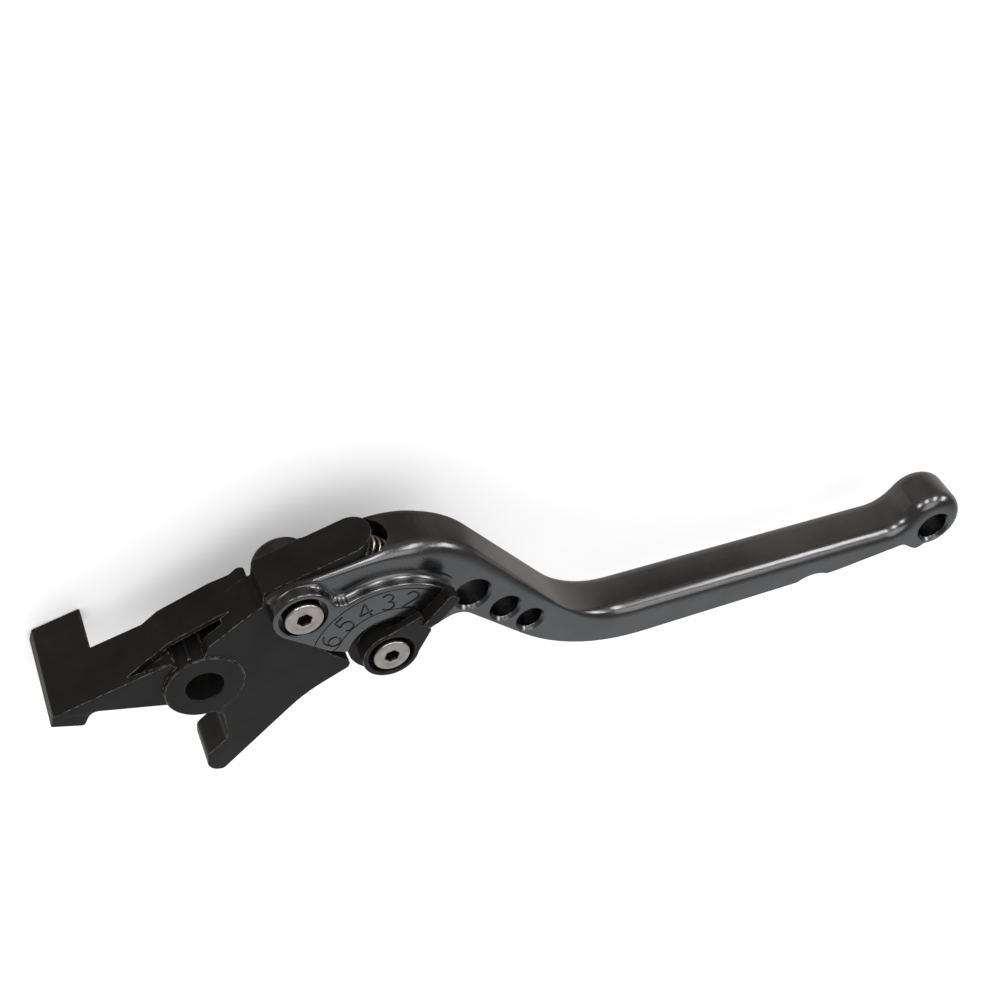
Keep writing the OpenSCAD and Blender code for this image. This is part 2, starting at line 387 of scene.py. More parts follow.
def drop_folds(obj):
    """Makes triangles, merges points that coincide and drops triangles that lie on each other."""
    bm = bmesh.new()
    bm.from_mesh(obj.data)
    bmesh.ops.triangulate(bm, faces=bm.faces)
    bmesh.ops.remove_doubles(bm, verts=bm.verts, dist=0.0000002)
    bm.verts.index_update()
    seen = {}
    for face in bm.faces:
        seen.setdefault(frozenset(v.index for v in face.verts), []).append(face)
    folded = [face for faces in seen.values() if len(faces) > 1 for face in faces]
    bmesh.ops.delete(bm, geom=folded, context="FACES")
    bm.to_mesh(obj.data)
    bm.free()


def finish_piece(obj, material, node):
    """Mesh clean-up, material and shading for a piece that stands for a CAD node."""
    drop_folds(obj)
    obj.data.materials.clear()
    obj.data.materials.append(material)
    for polygon in obj.data.polygons:
        polygon.use_smooth = True
    obj.data.set_sharp_from_angle(angle=math.radians(SHARP_ANGLE))
    normals = obj.modifiers.new("normals", "WEIGHTED_NORMAL")
    normals.keep_sharp = True
    normals.weight = 60
    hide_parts(node)


# ---- materials ----

class Nodes:
    """Short ways to build a node tree."""

    def __init__(self, tree):
        self.tree = tree

    def node(self, kind, **settings):
        made = self.tree.nodes.new(kind)
        for key, value in settings.items():
            setattr(made, key, value)
        return made

    def link(self, a, b):
        self.tree.links.new(a, b)

    def ramp(self, source, low, high, a, b):
        """Maps source from low..high to a..b."""
        made = self.node("ShaderNodeMapRange")
        for key, value in zip(("From Min", "From Max", "To Min", "To Max"), (low, high, a, b)):
            made.inputs[key].default_value = value
        self.link(source, made.inputs["Value"])
        return made.outputs["Result"]

    def mix(self, factor, first, second):
        made = self.node("ShaderNodeMix", data_type="RGBA")
        self.link(factor, made.inputs["Factor"])
        for key, value in (("A", first), ("B", second)):
            if isinstance(value, tuple):
                made.inputs[key].default_value = (*value, 1)
            else:
                self.link(value, made.inputs[key])
        return made.outputs["Result"]

    def math(self, operation, a, b):
        made = self.node("ShaderNodeMath", operation=operation)
        for socket_in, value in zip(made.inputs, (a, b)):
            if isinstance(value, (int, float)):
                socket_in.default_value = value
            else:
                self.link(value, socket_in)
        return made.outputs["Value"]


class Shader(Nodes):
    """A node material with a Principled shader and short ways to feed it."""

    def __init__(self, name, **inputs):
        self.material = bpy.data.materials.new(name)
        self.material.use_nodes = True
        super().__init__(self.material.node_tree)
        self.surface = self.tree.nodes["Principled BSDF"]
        for key, value in inputs.items():
            self.surface.inputs[key.replace("_", " ")].default_value = value
        self.place = self.node("ShaderNodeTexCoord").outputs["Object"]
        self.height = None

    def noise(self, scale_per_mm, detail=4.0, stretch=(1, 1, 1)):
        mapping = self.node("ShaderNodeMapping")
        mapping.inputs["Scale"].default_value = stretch
        self.link(self.place, mapping.inputs["Vector"])
        made = self.node("ShaderNodeTexNoise")
        made.inputs["Scale"].default_value = scale_per_mm / MM
        made.inputs["Detail"].default_value = detail
        self.link(mapping.outputs["Vector"], made.inputs["Vector"])
        return made.outputs["Fac"]

    def feed(self, name, source):
        self.link(source, self.surface.inputs[name])

    def bump(self, source, distance_mm, strength):
        """Adds a layer of bump under the ones before it."""
        made = self.node("ShaderNodeBump")
        made.inputs["Strength"].default_value = strength
        made.inputs["Distance"].default_value = distance_mm * MM
        self.link(source, made.inputs["Height"])
        if self.height is not None:
            self.link(self.height, made.inputs["Normal"])
        self.height = made.outputs["Normal"]
        self.feed("Normal", self.height)

    def edges(self, radius_mm):
        """Near 1 along sharp edges and 0 on flats."""
        bevel = self.node("ShaderNodeBevel", samples=6)
        bevel.inputs["Radius"].default_value = radius_mm * MM
        flat = self.node("ShaderNodeNewGeometry")
        dot = self.node("ShaderNodeVectorMath", operation="DOT_PRODUCT")
        self.link(bevel.outputs["Normal"], dot.inputs[0])
        self.link(flat.outputs["Normal"], dot.inputs[1])
        return self.ramp(dot.outputs["Value"], 0.995, 0.86, 0.0, 1.0)

    def engraved_floor(self):
        """1 on the floors of the numerals and their frame, where dirt settles."""
        place = self.node("ShaderNodeSeparateXYZ")
        self.link(self.place, place.inputs[0])
        fade = 0.06
        below = self.ramp(place.outputs["Z"], (EAR_HALF - fade) * MM, (EAR_HALF - 2 * fade) * MM, 0, 1)
        above = self.ramp(place.outputs["Z"], (EAR_HALF - 0.32) * MM, (EAR_HALF - 0.26) * MM, 0, 1)
        way = self.node("ShaderNodeSeparateXYZ")
        self.link(self.node("ShaderNodeNewGeometry").outputs["True Normal"], way.inputs[0])
        level = self.ramp(way.outputs["Z"], 0.97, 0.99, 0, 1)
        return self.math("MULTIPLY", level, self.math("MULTIPLY", below, above))

    def rings(self, centre, per_mm):
        """Fine turned rings about a vertical axis through centre."""
        mapping = self.node("ShaderNodeMapping")
        mapping.inputs["Location"].default_value = (-centre.x * MM, -centre.y * MM, 0)
        self.link(self.place, mapping.inputs["Vector"])
        wave = self.node("ShaderNodeTexWave", wave_type="RINGS", rings_direction="Z", wave_profile="SIN")
        wave.inputs["Scale"].default_value = per_mm / MM / 3.2
        wave.inputs["Distortion"].default_value = 0.25
        wave.inputs["Detail"].default_value = 1.0
        self.link(mapping.outputs["Vector"], wave.inputs["Vector"])
        return wave.outputs["Fac"]


def grey_anodised():
    s = Shader("grey_anodised", Metallic=1.0, Roughness=0.2)
    cloud = s.noise(0.09, 3.0)
    dyed = s.mix(s.ramp(cloud, 0.3, 0.7, 0, 1), (0.15, 0.15, 0.153), (0.18, 0.18, 0.184))
    s.feed("Base Color", s.mix(s.engraved_floor(), dyed, (0.07, 0.07, 0.071)))
    grain = s.noise(9.0, 3.0)
    s.feed("Roughness", s.ramp(grain, 0.3, 0.7, 0.17, 0.28))
    s.bump(grain, 0.006, 0.5)
    s.bump(s.noise(1.2, 2.0, (0.15, 1, 1)), 0.01, 0.25)
    return s.material


def black_anodised():
    s = Shader("black_anodised", Metallic=0.35, Roughness=0.3, Specular_IOR_Level=0.25)
    cloud = s.noise(0.12, 3.0)
    # Edges: worn bare metal and a painted edge highlight together. A broken band along sharp edges is painted
    # pale (0.36, 0.33, 0.3).
    edge_band = s.edges(0.26)
    broken = s.ramp(s.noise(1.2, 5.0), 0.42, 0.6, 0.06, 1.0)
    wear_and_edge_highlight = s.math("MULTIPLY", edge_band, broken)
    dyed = s.mix(s.ramp(cloud, 0.3, 0.7, 0, 1), (0.012, 0.011, 0.0105), (0.018, 0.0165, 0.016))
    s.feed("Base Color", s.mix(wear_and_edge_highlight, dyed, (0.36, 0.33, 0.3)))
    grain = s.noise(12.0, 4.0)
    s.feed("Roughness", s.ramp(grain, 0.3, 0.7, 0.26, 0.4))
    s.bump(grain, 0.008, 0.5)
    return s.material


def screw_steel(name, centre, top):
    s = Shader(name, Metallic=1.0, Roughness=0.3)
    cloud = s.noise(0.5, 4.0)
    metal = s.mix(s.ramp(cloud, 0.35, 0.65, 0, 1), (0.46, 0.41, 0.365), (0.58, 0.53, 0.485))
    # Painted shade: from 0.25 mm below the head's top the steel fades to near black, fully dark from 0.7 mm
    # down. This darkens the hex socket and the head's sides below the top.
    along = s.node("ShaderNodeSeparateXYZ")
    s.link(s.place, along.inputs[0])
    socket_shade = s.ramp(along.outputs["Z"], (top - 0.25) * MM, (top - 0.7) * MM, 0, 1)
    s.feed("Base Color", s.mix(socket_shade, metal, (0.09, 0.075, 0.065)))
    rings = s.rings(centre, 3.0)
    s.feed("Roughness", s.ramp(rings, 0, 1, 0.26, 0.38))
    s.bump(rings, 0.01, 0.5)
    s.bump(s.noise(6.0, 3.0), 0.01, 0.3)
    return s.material


def spring_steel():
    s = Shader("spring_steel", Metallic=1.0, Roughness=0.25)
    s.feed("Base Color", s.mix(s.noise(1.5, 3.0), (0.6, 0.54, 0.42), (0.75, 0.7, 0.6)))
    drawn = s.noise(8.0, 2.0, (0.2, 0.2, 1))
    s.feed("Roughness", s.ramp(drawn, 0.3, 0.7, 0.2, 0.34))
    s.bump(drawn, 0.01, 0.4)
    return s.material


def turned_metal(name, dark, light, centre):
    s = Shader(name, Metallic=1.0, Roughness=0.3)
    s.feed("Base Color", s.mix(s.noise(0.6, 3.0), dark, light))
    rings = s.rings(centre, 2.5)
    s.feed("Roughness", s.ramp(rings, 0, 1, 0.24, 0.4))
    s.bump(rings, 0.008, 0.4)
    return s.material


# ---- lever body ----

# Height of the round-over along the finger side, by x, on the numbered face and on the under face
FINGER_OVER = [(19, 0.6), (25, 0.9), (36, 1.4), (41, 2.3), (46, 3.0), (55, 3.0), (60, 2.8), (66, 2.3),
               (72, 1.7), (76, 1.0), (79, 0.5), (82, 0.9), (85, 1.6), (92, 2.9), (150, 3.0), (170, 3.1)]
UNDER_OVER = [(19, 1.0), (30, 1.6), (45, 2.6), (60, 2.6), (80, 2.8), (92, 3.0), (170, 3.1)]
TIP_OVER = 3.1
REAR_OVER = 0.35
FILLET_R = 1.5
HOLE_CHAMFER = 0.7
BLEND_R = 3.0
NOTCH = Vector((142.9, -26.5))
NOTCH_R = 7.4

# Plan outline, from the ear along the finger side to the tip, and back along the rear and under the head
FRONT_EDGE = [(19.6, 23.15, 0), (51.4, 27, 24), (84.3, -12.2, 22), (165.3, -12.6, 8), (169.2, -8.1, 0)]
REAR_EDGE = [(169.8, -20.1, 0), (167, -17.9, 2), (149, -20.3, 20), (138, -20.6, 0), (98.6, -21.6, 0),
             (81.3, -21.6, 42), (55.2, 2.8, 4.5), (47.2, -0.7, 1)]
HEAD_EDGE = [(*CAM, 0), (29.2, 3, 0), (25.5, 4.8, 2), (16.84, 12.09, 0)]
EAR_REAR = 229.8
EAR_FRONT = 97.0
# Line that parts the finger side from the rear, and where the tip begins
MIDLINE = [(19, 16), (45, 12), (60, 7), (70, -4), (80, -12.5), (86, -15.5), (100, -17), (171, -17)]
TIP_FROM = 170.3
# Line below which the plateau rises straight from the body's own wall, with no fillet
NO_FILLET = [(16, 20), (21.5, 22.2), (23, 21), (30, 4.2), (40, 2.5), (53, 11.5)]


def body_path():
    """Outline of the lever body in plan, with the tip and the ear as arcs."""
    path = outline(FRONT_EDGE + [(*TIP, 0)] + REAR_EDGE + HEAD_EDGE)
    tip_at = min(range(len(path)), key=lambda i: (path[i] - TIP).length)
    path[tip_at:tip_at + 1] = arc(TIP, TIP_R, 130, -124, 3)
    return path + arc(LINK, EAR_R, EAR_REAR, EAR_FRONT)


def finger_side(p):
    """True along the front wall and round the tip."""
    return p.x > TIP_FROM or p.y > table(MIDLINE, p.x)


def edge_radius(pairs):
    """Round-over radius by point, from its height by x along the finger side."""
    def radius(p):
        if not finger_side(p):
            return REAR_OVER
        if p.x > TIP_FROM and p.y < -19:
            return REAR_OVER + (TIP_OVER - REAR_OVER) * smoothstep(p.x, TIP_FROM, 173.5)
        return table(pairs, p.x)
    return radius


def raise_head(obj):
    """Lifts the head's floor above the blade's face, with a ramp between them."""
    start, end, steps = 45.0, 51.0, 8
    bm = bmesh.new()
    bm.from_mesh(obj.data)
    for k in range(steps + 1):
        x = start + (end - start) * k / steps
        geometry = bm.verts[:] + bm.edges[:] + bm.faces[:]
        bmesh.ops.bisect_plane(bm, geom=geometry, dist=0.0000001, plane_co=(x * MM, 0, 0), plane_no=(1, 0, 0))
    for v in bm.verts:
        v.co.z *= 1 + (FLOOR_HALF / BLADE_HALF - 1) * (1 - smoothstep(v.co.x / MM, start, end))
    bm.to_mesh(obj.data)
    bm.free()


def blend_centre():
    """Centre of the hollow arc between the plateau and the ear."""
    pa, pb = PLATEAU_R + BLEND_R, EAR_R + BLEND_R
    way = LINK - CAM
    d = way.length
    x = (d * d + pa * pa - pb * pb) / (2 * d)
    return CAM + turned(Vector((x, -math.sqrt(pa * pa - x * x))), angle_of(way))


def plateau_path():
    blend = blend_centre()
    on_plateau = angle_of(blend - CAM)
    on_ear = angle_of(blend - LINK)
    path = outline(HEAD_EDGE[::-1])[1:]
    path += arc(CAM, PLATEAU_R, 35.5, on_plateau)
    path += arc(blend, BLEND_R, on_plateau + 180, on_ear + 180, 5)
    return path + arc(LINK, EAR_R, on_ear, EAR_REAR)


def plateau():
    """Numbered plateau and upper ear, with a fillet at the foot and a small round-over at the top."""
    path = tidy_path(plateau_path())
    ways = inward(path)
    least, least_rise, edge = 0.02, 0.3, 0.42
    front_from = Vector(FRONT_EDGE[0][:2])
    front_way = Vector((31.8, 3.85)).normalized()

    def fillet(p):
        """Reach of the fillet at p, kept short of the body's front edge."""
        if p.y < table(NO_FILLET, p.x) + 0.2:
            return least
        to_edge = front_way.x * (front_from.y - p.y) - front_way.y * (front_from.x - p.x)
        return max(least, min(FILLET_R, 0.95 * to_edge))

    feet = [fillet(p) for p in path]
    rings = []
    for z_below in (SLOT_HALF + 0.4, FLOOR_HALF - 0.35):
        rings.append([(*(p - w * f), z_below) for p, w, f in zip(path, ways, feet)])
    foot_z = FLOOR_HALF - 0.02
    for a in quarter(6):
        rings.append([(*(p - w * f * (1 - math.sin(a))), foot_z + max(f, least_rise) * (1 - math.cos(a)))
                      for p, w, f in zip(path, ways, feet)])
    for a in quarter(3):
        rings.append([(*(p + w * edge * (1 - math.cos(a))), EAR_HALF - edge * (1 - math.sin(a)))
                      for p, w in zip(path, ways)])
    return stacked("plateau", rings)


def lower_ear():
    """The ear below the slot: a disc under each screw and a web between them."""
    edge, ear_edge, disc_r = 0.5, 2.0, 7.4
    top = -SLOT_HALF - 0.3
    ear = slab("lower_ear", arc(LINK, EAR_R, 0, 356), -EAR_HALF, top, 0, ear_edge, steps=7)
    disc = slab("disc", arc(CAM, disc_r, 0, 356), -EAR_HALF, top, 0, edge)
    web = outline([(22, 8.5, 0), (*(CAM + disc_r * heading(222)), 0), (*(CAM + disc_r * heading(-20)), 0),
                   (*(CAM + 16 * heading(30)), 2), (*(LINK + 6 * heading(40)), 0), (*LINK, 0)])
    join(ear, disc, slab("web", web, -EAR_HALF, top, 0, edge))
    return ear


def bowl(x, y, rx, ry, start, end, step=15):
    """Elliptical arc of a numeral."""
    n = max(2, math.ceil(abs(end - start) / step))
    turns = [math.radians(start + (end - start) * i / n) for i in range(n + 1)]
    return [Vector((x + rx * math.cos(a), y + ry * math.sin(a))) for a in turns]


def bar(*ends):
    """Straight stroke of a numeral, between two (x, y) points."""
    return [Vector(p) for p in ends]


# Strokes of the numerals, in a box about 2 wide and 3.2 tall centred on the origin
NUMERALS = {
    1: [bar((-0.6, 1.0), (0.15, 1.6)), bar((0.15, 1.6), (0.15, -1.6))],
    2: [bowl(0, 0.72, 0.98, 0.88, 165, -35), bar((0.8, 0.22), (-0.98, -1.6)),
        bar((-0.98, -1.6), (1.0, -1.6))],
    3: [bowl(-0.05, 0.8, 0.85, 0.8, 150, -88), bowl(-0.05, -0.78, 0.98, 0.82, 88, -152)],
    4: [bar((1.05, -0.62), (-1.1, -0.62)), bar((-1.1, -0.62), (0.45, 1.6)), bar((0.45, 1.6), (0.45, -1.6))],
    5: [bar((0.85, 1.6), (-0.7, 1.6)), bar((-0.7, 1.6), (-0.85, 0.12)),
        bowl(-0.1, -0.55, 1.0, 1.02, 132, -148)],
    6: [bowl(0.75, -0.4, 1.72, 1.98, 92, 174), bowl(0, -0.62, 0.96, 0.98, 0, 345)],
}
NUMERAL_R = 14.0
NUMERAL_STEP = 20.42
NUMERAL_SCALE = 1.35
STROKE = 0.46
ENGRAVING = 0.18
# Frame round the numerals
FRAME_R = 14.35
FRAME_HALF = 2.75
FRAME_STROKE = 0.26
FRAME_FROM = 43
FRAME_TO = 155.0


def engrave(body):
    """Cuts the numerals and their frame.

    A numeral's strokes differ a little in depth, so that no two floors coincide.
    """
    z0, z1 = EAR_HALF - ENGRAVING, EAR_HALF + 1
    for value, strokes in NUMERALS.items():
        at = POINTER_DIR + NUMERAL_STEP * (value - 1)
        for k, line in enumerate(strokes):
            placed = [CAM + NUMERAL_R * heading(at) + turned(p * NUMERAL_SCALE, at - 90) for p in line]
            cut(body, ribbon("stroke", placed, STROKE, z0 - 0.005 * k, z1 + 0.01 * k))
    line = arc(CAM, FRAME_R + FRAME_HALF, FRAME_FROM, FRAME_TO - 3)
    line += arc(CAM + FRAME_R * heading(FRAME_TO - 2), FRAME_HALF, FRAME_TO + 6, FRAME_TO + 170, 12)
    line += arc(CAM, FRAME_R - FRAME_HALF, FRAME_TO, FRAME_FROM)
    cut(body, ribbon("frame", line, FRAME_STROKE, z0 + 0.04, z1))


def slot_tools():
    """The slot for the bracket and the cam, and the window."""
    mouth = [Vector(p) for p in ((8, 34), (8, -14), (44, -14), (44, 2), (40.6, 13), (39, 20), (39, 34))]
    sweep = [CAM] + arc(CAM, 12.6, 75, 215)
    window = moved(rod("window", SLOT_HALF, -20, 0), Matrix.Rotation(math.radians(90), 4, "X"))
    window = moved(window, Matrix.Translation(Vector((36.6, 16, 0)) * MM))
    return [slab("slot", mouth, -SLOT_HALF, SLOT_HALF), rod("cam_room", 9.9, -SLOT_HALF, SLOT_HALF, CAM),
            slab("lobe_room", sweep, -SLOT_HALF, SLOT_HALF), window]


def spring_frame():
    """From the spring's own axes, with +Z along the coil, to the frame."""
    place = Matrix.Translation((SPRING_SEAT.x * MM, SPRING_SEAT.y * MM, 0))
    turn = Matrix.Rotation(math.radians(SPRING_DIR), 4, "Z")
    return place @ turn @ Matrix.Rotation(math.radians(90), 4, "Y")


def flared(r, z, edge, centre, floor):
    """Cutter for a blind hole open at the top, with a rounded rim at height z."""
    rim = [(r + edge * (1 - math.cos(a)), z - edge * (1 - math.sin(a))) for a in quarter(4)]
    return turned_solid("flared", [(r, floor)] + rim + [(r + edge, z + 4)], centre)


def lever_body(material):
    past = 12
    body = slab("lever_body_shape", body_path(), -BLADE_HALF, BLADE_HALF, edge_radius(FINGER_OVER),
                edge_radius(UNDER_OVER), steps=7, longest=2.5)
    raise_head(body)
    join(body, lower_ear(), plateau())
    cut(body, *slot_tools())
    cut(body, flared(CUTOUT_R, EAR_HALF, 0.25, CAM, SLOT_HALF - 1))
    cut(body, rod("shoulder_hole", SHOULDER_R + FIT, -SLOT_HALF - 0.15, past, LINK))
    cut(body, flared(COUNTERBORE_R, EAR_HALF, 0.3, LINK, LINK_HEAD_TOP - HEAD_H))
    for centre in (LINK, CAM):
        cut(body, rod("thread_hole", SHANK_R + FIT / 2, -past, -SLOT_HALF, centre))
    detent = CAM + DETENT_R * heading(-75)
    cut(body, rod("detent_hole", BALL_R + FIT, -8.3, 0, detent))
    for centre, r in HOLES:
        cut(body, rimmed_hole(r, BLADE_HALF, HOLE_CHAMFER, centre))
    cut(body, rimmed_hole(TIP_HOLE_R, BLADE_HALF, HOLE_CHAMFER, TIP_HOLE))
    cut(body, rod("notch", NOTCH_R, -past, past, NOTCH))
    cut(body, moved(rod("spring_pocket", SPRING_HOLE_R, 1, SPRING_LEN + 0.1), spring_frame()))
    engrave(body)
    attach(body, "lever")
    finish_piece(body, material, "lever_body")


# ---- bracket ----

PLATE = [(29.8, -7.07, 0), (30.25, -4.66, 0), (25.2, 0.5, 5), (25.3, 8.5, 8), (28.4, 15, 5), (27.6, 19.6, 2),
         (31.8, 21.3, 1), (38.9, 28.5, 0.3), (14.3, 21.9, 0.8), (13.8, 18.2, 0.5), (12.3, 17.9, 1),
         (2, 11, 1), (0, 6, 0), (0, -8.3, 0), (3, -10.2, 2), (3, -18.4, 2.5), (-1.9, -22.4, 2.2),
         (-2.4, -28, 3), (1.2, -28.2, 1), (20.5, -11.2, 30)]
ARM = [(-30.2, 2.5, 0.4), (-31.2, -0.3, 0.4), (-24.7, -2.6, 0.8), (-22.9, 0.9, 2), (-6, -4, 0), (0, 0, 0),
       (-6, 8.5, 0)]
PAD = [(-30.2, 2.5, 0.4), (-31.2, -0.3, 0.4), (-24.7, -2.6, 0.8), (-22.9, 0.9, 2), (-19.8, 0.0, 0.4),
       (-19.8, 5.08, 0.4)]
WALL = [(-9.4, 7.4, 0), (-5.3, 10.5, 3), (5.6, 14.5, 6), (10.2, 15.5, 2), (12, 17, 1.2), (13.6, 16.4, 0.8),
        (12.2, 10.5, 0), (6, 0, 0), (-6, 0, 0)]
POCKET = [(-8.9, 6.9, 0), (-5, 9.6, 3), (5.7, 13.5, 6), (9.8, 14.4, 2), (12, 16.4, 0), (10, 8, 0), (0, 3, 0),
          (-6, 3, 0)]
# Part of the pocket that runs on under the plate
UNDERCUT = [(-3, 10.3, 0), (0.5, 11.6, 0), (5.7, 13.5, 6), (9.8, 14.4, 2), (12, 16.4, 0), (12.2, 15.6, 0),
            (8, 10.6, 0), (4.2, 8.4, 0), (0.5, 8.95, 0), (-3, 9.1, 0)]
WALL_TOP = 0.5
POCKET_FLOOR = -5.0
UNDERCUT_TOP = 1.9
# Small round rib in the pocket's left-hand end
RIB = Vector((-2.1, 8.9))
RIB_R = 0.32
TONGUE_END = 33.3


def side_recess():
    """Cutter for the four-cornered recess milled into the arm's front wall, beside the pocket."""
    mouth = [(-14.6, 6.38, 2.75), (-4.0, 9.1, 4.45), (-4.0, 10.6, 0.45), (-9.3, 7.9, 0.5)]
    depth = Vector((0.5, -2.2, -0.4))
    outward = Vector((-0.25, 1.0, 0.1))
    rings = [[tuple(Vector(p) + outward) for p in mouth], [tuple(Vector(p) + depth) for p in mouth]]
    return stacked("recess", rings)


def tongue_end():
    """Cutter that leaves a half-round end on the tongue, seen from the finger side."""
    length, half, depth, start = 8, 6, 26, 40
    middle = Vector((TONGUE_END, 0))
    corners = ((middle.x, -half), (middle.x + length, -half), (middle.x + length, half), (middle.x, half))
    block = slab("tongue_end", [Vector(p) for p in corners], 0, depth)
    cut(block, rod("keep", PLATE_HALF, -1, depth + 1, middle))
    moved(block, Matrix.Rotation(math.radians(90), 4, "X"))
    return moved(block, Matrix.Translation(Vector((0, start, 0)) * MM))


def bracket(material):
    edge, past = 0.18, 20
    body = slab("bracket_shape", outline(PLATE), -PLATE_HALF, PLATE_HALF, edge, edge, 2)
    nose = slab("nose", arc(NOSE, NOSE_R, 0, 350, 10), -PLATE_HALF, PLATE_HALF, edge, edge, 2)
    arm = slab("arm", outline(ARM), ARM_BOTTOM, ARM_TOP, edge, edge, 2)
    pad = slab("pad", outline(PAD), PAD_BOTTOM, ARM_TOP - 0.5, 0, 0.3, 2)
    wall = slab("wall", outline(WALL), ARM_BOTTOM, WALL_TOP, 0.3, edge, 2)
    cut(wall, slab("pocket", outline(POCKET), POCKET_FLOOR, 10))
    cut(arm, side_recess())
    join(body, nose, arm, pad, wall, rod("boss", BOSS_R, ARM_BOTTOM, BOSS_TOP, edge=0.22))
    cut(body, flared(PIVOT_R, BOSS_TOP, 0.35, ORIGIN, -30))
    cut(body, rod("bush_hole", BUSH_R + FIT / 2, -past, past, LINK))
    cut(body, slab("undercut", outline(UNDERCUT), POCKET_FLOOR, UNDERCUT_TOP))
    join(body, slab("rib", arc(RIB, RIB_R, 0, 330, 30), POCKET_FLOOR - 1, PLATE_HALF - 0.2))
    cut(body, tongue_end())
    cut(body, moved(rod("spring_seat", SPRING_HOLE_R, 0, 12), spring_frame()))
    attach(body, "bracket")
    finish_piece(body, material, "bracket")


# ---- adjuster ----

def swing(a):
    """Turn of the lever body when the adjuster is at angle a."""
    return REACH_TURN * a / ADJUSTER_TURN


def cam_at(a):
    return LINK + turned(CAM - LINK, swing(a))


def cam_profile():
    """Working face that holds the nose through the whole turn, then a fall back to a plain round."""
    gap, dwell, fall = 0.08, 6.0, 28.0
    base_r = DRUM_R + 0.3

    def contact(a):
        return angle_of(NOSE - cam_at(a)) - a - swing(a)

    def radius(a):
        return (NOSE - cam_at(a)).length - NOSE_R - gap

    def ease(r1, r2, t):
        return r1 + (r2 - r1) * (1 - math.cos(math.pi * t)) / 2

    start, end = contact(0), contact(ADJUSTER_TURN)
    high, low = radius(ADJUSTER_TURN), radius(0)
    rest = 360 - dwell - 2 * fall - (start - end)
    n_work, n_dwell, n_fall, n_rest = 40, 4, 14, 50
    turns = [ADJUSTER_TURN * i / n_work for i in range(n_work + 1)]
    path = [radius(a) * heading(contact(a)) for a in turns]
    path += [high * heading(end - dwell * i / n_dwell) for i in range(1, n_dwell + 1)]
    path += [ease(high, base_r, i / n_fall) * heading(end - dwell - fall * i / n_fall)
             for i in range(1, n_fall + 1)]
    path += [base_r * heading(end - dwell - fall - rest * i / n_rest) for i in range(1, n_rest + 1)]
    path += [ease(base_r, low, i / n_fall) * heading(start + fall * (1 - i / n_fall))
             for i in range(1, n_fall)]
    return shifted(path, CAM)


def pointer_arm():
    """Outline of the flat arm between the hub and the finger."""
    root = HUB_R - 0.3
    path = [root * heading(POINTER_DIR + 70), 11.5 * heading(POINTER_DIR + 6),
            9.8 * heading(POINTER_DIR - 22), root * heading(POINTER_DIR - 82), ORIGIN]
    radii = (0, 0.3, 0.4, 0, 0)
    return shifted(outline([(*p, r) for p, r in zip(path, radii)]), CAM)


def pointer_finger():
    """Outline of the raised finger, drawn along its own length and turned to the pointer's direction."""
    path = outline([(10.2, 0.4, 0), (19.6, 0.4, 1.15), (19.6, -2.4, 1.15), (12.2, -2.4, 2.0),
                    (10.2, -1.2, 0)])
    return [CAM + turned(p, POINTER_DIR) for p in path]


def step_up(name, r, bottom, top):
    """Round step of the adjuster, with a softened top edge."""
    profile = [(r, bottom), (r, top - 0.3), (r - 0.1, top - 0.08), (r - 0.3, top)]
    return turned_solid(name, profile, CAM)


def ring_solid(name, profile, centre, steps=96):
    """Solid of revolution with a closed profile that stays clear of the axis."""
    n = len(profile)
    vertices, faces = [], []
    for i in range(steps):
        a = 2 * math.pi * i / steps
        vertices += [(centre.x + r * math.cos(a), centre.y + r * math.sin(a), z) for r, z in profile]
        low, high = i * n, ((i + 1) % steps) * n
        faces += [(low + j, low + (j + 1) % n, high + (j + 1) % n, high + j) for j in range(n)]
    return make_object(name, vertices, faces)


def groove():
    """Cutter for the ring groove that the detent ball runs in."""
    r = BALL_R + FIT
    turns = [2 * math.pi * k / 16 for k in range(1, 8)]
    ring = [(DETENT_R + r * math.cos(a), BALL_Z + r * math.sin(a)) for a in turns]
    open_z = -12
    return ring_solid("groove", [(ring[0][0], open_z)] + ring + [(ring[-1][0], open_z)], CAM)


def adjuster(material):
    edge, past = 0.2, 20
    body = slab("adjuster_shape", cam_profile(), -PLATE_HALF, STEP_Z, edge, edge, 2)
    drum = step_up("drum", DRUM_R, STEP_Z - 0.1, DRUM_TOP)
    hub = step_up("hub", HUB_R, DRUM_TOP - 1, HUB_TOP)
    arm = slab("pointer", pointer_arm(), POINTER_BOTTOM, HUB_TOP, 0.16, 0.1, 2)
    finger = slab("finger", pointer_finger(), POINTER_BOTTOM, FINGER_TOP, 0.2, 0.12, 2)
    join(body, drum, hub, arm, finger)
    cut(body, rod("bore", CAM_BUSH_R + FIT, -past, past, CAM))
    cut(body, flared(COUNTERBORE_R, HUB_TOP, 0.22, CAM, ADJUSTER_HEAD_TOP - HEAD_H - 0.1))
    cut(body, groove())
    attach(body, "adjuster")
    finish_piece(body, material, "adjuster_cam")


# ---- screws and springs ----

def screw(name, centre, head_r, top, wide_r, shoulder_end, material, node):
    end = 0.2 - EAR_HALF
    edge = 0.32
    profile = [(SHANK_R - 0.3, end), (SHANK_R, end + 0.3), (SHANK_R, shoulder_end)]
    if wide_r > SHANK_R:
        profile.append((wide_r, shoulder_end))
    profile += [(wide_r, top - HEAD_H), (head_r, top - HEAD_H), (head_r, top - edge),
                (head_r - 0.04, top - 0.17), (head_r - 0.14, top - 0.05), (head_r - edge, top),
                (2.45, top - 0.005), (2.35, top - 0.05), (2.2, top - 0.05)]
    body = turned_solid(name, profile, centre, 128)
    cut(body, *socket(centre, top - 0.05))
    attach(body, "lever")
    finish_piece(body, material, node)


